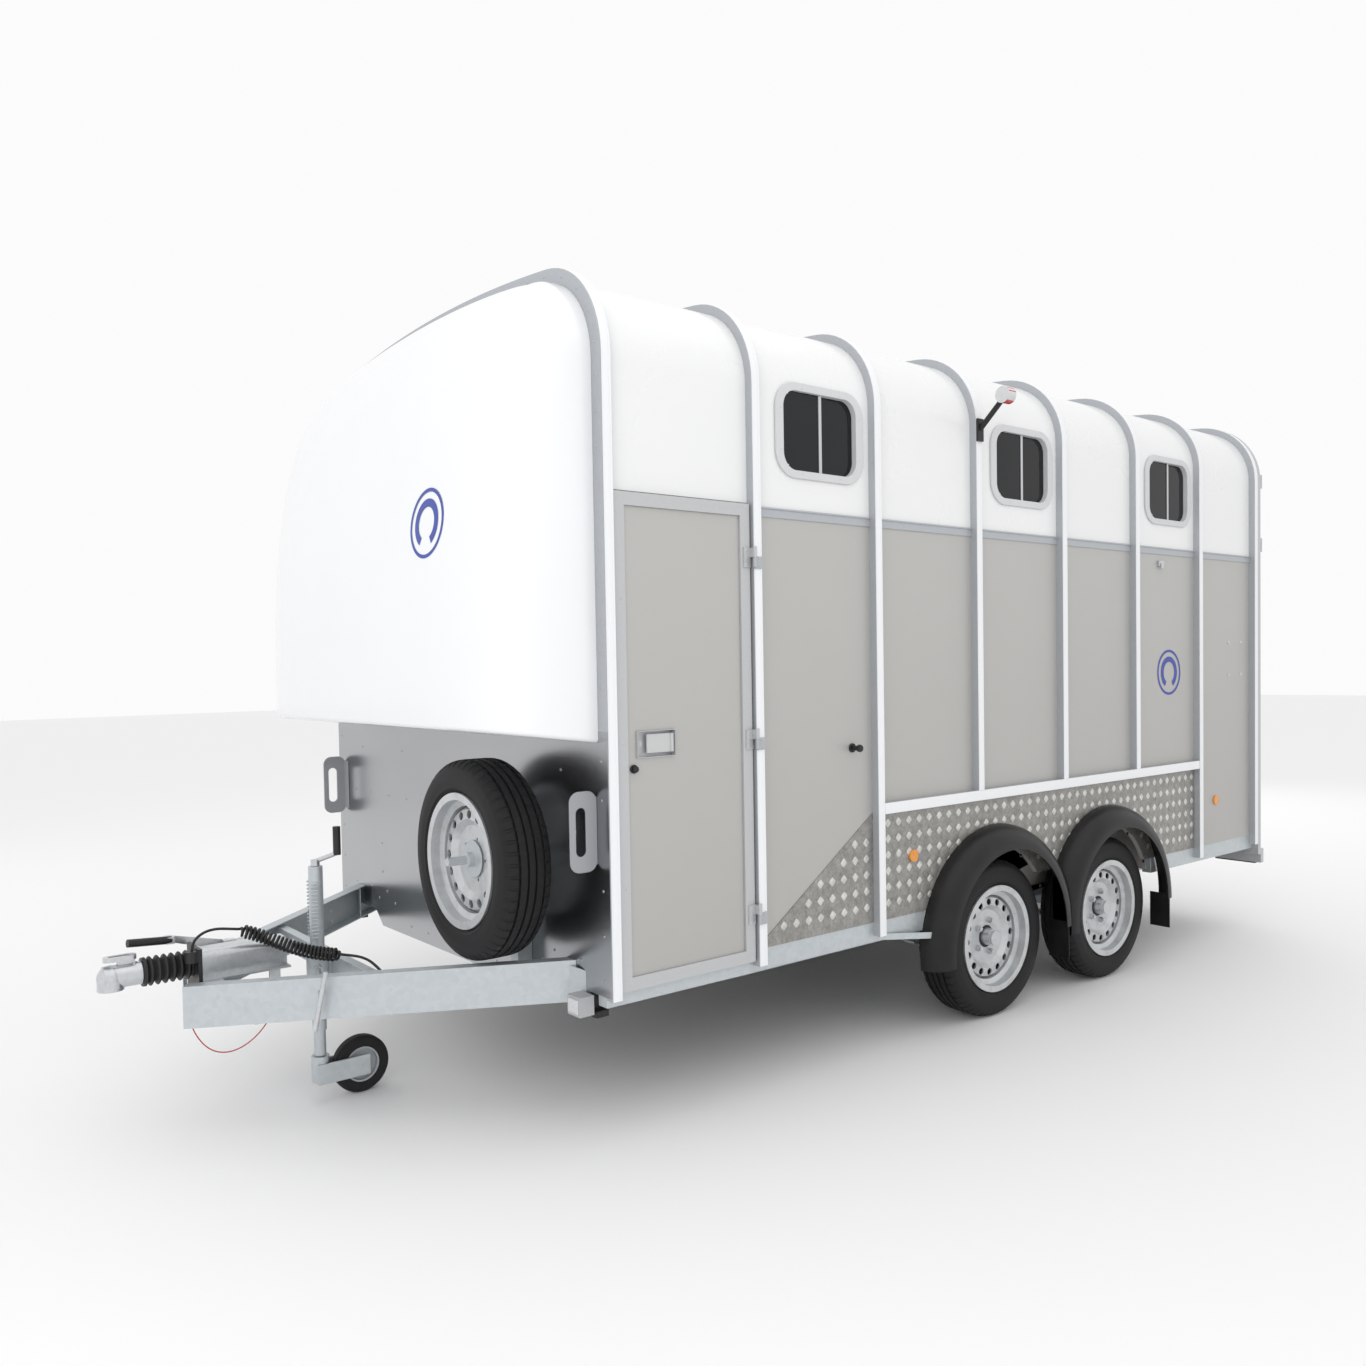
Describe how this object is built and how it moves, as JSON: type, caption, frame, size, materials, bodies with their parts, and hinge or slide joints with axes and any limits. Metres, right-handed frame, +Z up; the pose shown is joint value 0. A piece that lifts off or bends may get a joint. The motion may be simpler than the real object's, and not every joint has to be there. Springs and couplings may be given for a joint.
{
  "type": "livestock trailer",
  "caption": "Twin-axle hooped box trailer for livestock or horses, with a moulded front, side groom door, rear ramp, sliding windows and braked drawbar.",
  "frame": {"origin": "middle of the footprint on the ground, under the box of the whole trailer", "axes": "+Z up, -Y towards the coupling and the towing vehicle, +X towards the trailer's left side with the groom door"},
  "size_m": [2.4578, 5.6117, 2.81],
  "materials": {
    "aluminium_hoop": "bright anodised",
    "white_skin": "gloss white",
    "grey_panel": "satin grey",
    "chequer_plate": "pressed diamonds",
    "bright_sheet": "polished",
    "galvanised_steel": "hot-dip galvanised",
    "floor_board": "phenolic-faced",
    "black_plastic": "satin",
    "black_rubber": "matt",
    "tyre_rubber": "matt",
    "silver_wheel": "silver lacquer",
    "window_glass": "tinted",
    "window_frame": "powder coat",
    "lamp_plastic": "moulded",
    "zinc_fitting": "zinc plated",
    "red_cable": "sheathed wire"
  },
  "bodies": {
    "chassis": {"side_posts": "aluminium_hoop", "roof_bows": "aluminium_hoop", "roof_shell": "white_skin", "lower_panels": "grey_panel", "tread_plates": "chequer_plate", "front_bulkhead": "bright_sheet", "nose_shell": "white_skin", "grab_handles": "galvanised_steel", "floor_deck": "floor_board", "wheel_boxes": "bright_sheet", "window_frames": "window_frame", "window_fixed_panes": "window_glass", "rear_frame": "galvanised_steel", "drawbar_rails": "galvanised_steel", "chassis_frame": "galvanised_steel", "overrun_housing": "zinc_fitting", "draw_bellows": "black_rubber", "jockey_clamp": "galvanised_steel", "axle_beams": "galvanised_steel", "leaf_springs": "galvanised_steel", "mudguards": "black_plastic", "lamps": "lamp_plastic", "lead_tails": "black_rubber", "curly_lead": "black_rubber", "breakaway_cable": "red_cable", "spare_tyre": "tyre_rubber", "spare_rim": "silver_wheel"},
    "groom_door": {"groom_door_frame": "window_frame", "groom_door_leaf": "grey_panel"},
    "door_latch": {"door_latch_paddle": "zinc_fitting"},
    "rear_door_left": {"rear_door_left": "grey_panel"},
    "rear_door_right": {"rear_door_right": "grey_panel"},
    "ramp": {"rear_ramp": "grey_panel"},
    "latch_left": {"ramp_latch_left": "zinc_fitting"},
    "latch_right": {"ramp_latch_right": "zinc_fitting"},
    "partition": {"centre_partition": "galvanised_steel"},
    "coupling": {"coupling_head": "zinc_fitting", "draw_tube": "galvanised_steel"},
    "coupling_handle": {"coupling_handle": "zinc_fitting"},
    "handbrake": {"handbrake_lever": "zinc_fitting"},
    "clamp_lever": {"clamp_lever": "zinc_fitting"},
    "jockey_tube": {"jockey_outer_tube": "zinc_fitting"},
    "jockey_inner": {"jockey_inner_tube": "zinc_fitting"},
    "jockey_crank": {"jockey_crank": "zinc_fitting"},
    "jockey_fork": {"jockey_fork": "galvanised_steel"},
    "jockey_wheel": {"jockey_wheel": "black_rubber"},
    "window_left_1": {"window_slider_left_1": "window_glass"},
    "window_right_1": {"window_slider_right_1": "window_glass"},
    "window_left_2": {"window_slider_left_2": "window_glass"},
    "window_right_2": {"window_slider_right_2": "window_glass"},
    "window_left_3": {"window_slider_left_3": "window_glass"},
    "window_right_3": {"window_slider_right_3": "window_glass"},
    "wheel_front_left": {"tyre_front_left": "tyre_rubber", "wheel_front_left": "silver_wheel"},
    "wheel_front_right": {"tyre_front_right": "tyre_rubber", "wheel_front_right": "silver_wheel"},
    "wheel_rear_left": {"tyre_rear_left": "tyre_rubber", "wheel_rear_left": "silver_wheel"},
    "wheel_rear_right": {"tyre_rear_right": "tyre_rubber", "wheel_rear_right": "silver_wheel"}
  },
  "joints": [
    {"name": "wheel_front_left_spin", "type": "hinge", "parent": "chassis", "child": "wheel_front_left", "pos_m": [0.97, 0.37615, 0.328], "axis": [1, 0, 0], "continuous": true},
    {"name": "wheel_front_right_spin", "type": "hinge", "parent": "chassis", "child": "wheel_front_right", "pos_m": [-0.97, 0.37615, 0.328], "axis": [1, 0, 0], "continuous": true},
    {"name": "wheel_rear_left_spin", "type": "hinge", "parent": "chassis", "child": "wheel_rear_left", "pos_m": [0.97, 1.23415, 0.328], "axis": [1, 0, 0], "continuous": true},
    {"name": "wheel_rear_right_spin", "type": "hinge", "parent": "chassis", "child": "wheel_rear_right", "pos_m": [-0.97, 1.23415, 0.328], "axis": [1, 0, 0], "continuous": true},
    {"name": "groom_door_swing", "type": "hinge", "parent": "chassis", "child": "groom_door", "pos_m": [1.076, -0.98185, 1.25], "axis": [0, 0, 1], "range_deg": [0, 178]},
    {"name": "door_latch_pull", "type": "hinge", "parent": "groom_door", "child": "door_latch", "pos_m": [1.042, -1.41985, 1.246], "axis": [0, 0, -1], "range_deg": [0, 30], "stiffness_Nm_per_rad": 2, "springref_deg": -11.46},
    {"name": "window_left_1_slide", "type": "slide", "parent": "chassis", "child": "window_left_1", "axis": [0, -1, 0], "range_m": [0, 0.11]},
    {"name": "window_right_1_slide", "type": "slide", "parent": "chassis", "child": "window_right_1", "axis": [0, -1, 0], "range_m": [0, 0.11]},
    {"name": "window_left_2_slide", "type": "slide", "parent": "chassis", "child": "window_left_2", "axis": [0, -1, 0], "range_m": [0, 0.11]},
    {"name": "window_right_2_slide", "type": "slide", "parent": "chassis", "child": "window_right_2", "axis": [0, -1, 0], "range_m": [0, 0.11]},
    {"name": "window_left_3_slide", "type": "slide", "parent": "chassis", "child": "window_left_3", "axis": [0, -1, 0], "range_m": [0, 0.11]},
    {"name": "window_right_3_slide", "type": "slide", "parent": "chassis", "child": "window_right_3", "axis": [0, -1, 0], "range_m": [0, 0.11]},
    {"name": "overrun_slide", "type": "slide", "parent": "chassis", "child": "coupling", "axis": [0, 1, 0], "range_m": [0, 0.085], "stiffness_N_per_m": 20000, "springref_m": -0.02, "deforming": ["draw_bellows"]},
    {"name": "coupling_handle_lift", "type": "hinge", "parent": "coupling", "child": "coupling_handle", "pos_m": [0, -2.69985, 0.575], "axis": [-1, 0, 0], "range_deg": [0, 40]},
    {"name": "handbrake_pull", "type": "hinge", "parent": "chassis", "child": "handbrake", "pos_m": [-0.072, -2.38785, 0.566], "axis": [-1, 0, 0], "range_deg": [0, 75]},
    {"name": "jockey_height", "type": "slide", "parent": "chassis", "child": "jockey_tube", "axis": [0, 0, 1], "range_m": [0, 0.16]},
    {"name": "jockey_crank_turn", "type": "hinge", "parent": "jockey_tube", "child": "jockey_crank", "pos_m": [0.06, -2.12785, 0.836], "axis": [0, 0, 1], "range_deg": [0, 10800]},
    {"name": "jockey_screw", "type": "slide", "parent": "jockey_tube", "child": "jockey_inner", "axis": [0, 0, -1], "range_m": [-0.0005, 0.1805]},
    {"name": "jockey_castor", "type": "hinge", "parent": "jockey_inner", "child": "jockey_fork", "pos_m": [0.06, -2.12785, 0.15], "axis": [0, 0, 1], "continuous": true},
    {"name": "jockey_wheel_spin", "type": "hinge", "parent": "jockey_fork", "child": "jockey_wheel", "pos_m": [0.06, -1.98585, 0.1], "axis": [1, 0, 0], "continuous": true},
    {"name": "clamp_screw", "type": "hinge", "parent": "chassis", "child": "clamp_lever", "pos_m": [0.24908, -2.19303, 0.47], "axis": [0.9454, -0.3259, 0], "range_deg": [-40, 60]},
    {"name": "ramp_fold", "type": "hinge", "parent": "chassis", "child": "ramp", "pos_m": [0, 2.76385, 0.46], "axis": [-1, 0, 0], "range_deg": [0, 110]},
    {"name": "rear_door_left_swing", "type": "hinge", "parent": "chassis", "child": "rear_door_left", "pos_m": [1.058, 2.76415, 2.25], "axis": [0, 0, -1], "range_deg": [0, 180]},
    {"name": "latch_left_turn", "type": "hinge", "parent": "ramp", "child": "latch_left", "pos_m": [0.95, 2.76585, 1.65], "axis": [0, -1, 0], "range_deg": [0, 80]},
    {"name": "rear_door_right_swing", "type": "hinge", "parent": "chassis", "child": "rear_door_right", "pos_m": [-1.058, 2.76415, 2.25], "axis": [0, 0, 1], "range_deg": [0, 180]},
    {"name": "latch_right_turn", "type": "hinge", "parent": "ramp", "child": "latch_right", "pos_m": [-0.95, 2.76585, 1.65], "axis": [0, 1, 0], "range_deg": [0, 80]},
    {"name": "partition_swing", "type": "hinge", "parent": "chassis", "child": "partition", "pos_m": [0, -0.63785, 1.25], "axis": [0, 0, 1], "range_deg": [-18, 18]}
  ],
  "couplings": [
    {"joint": "jockey_screw", "follows": "jockey_crank_turn", "m_per_rad": 0.00095493}
  ]
}
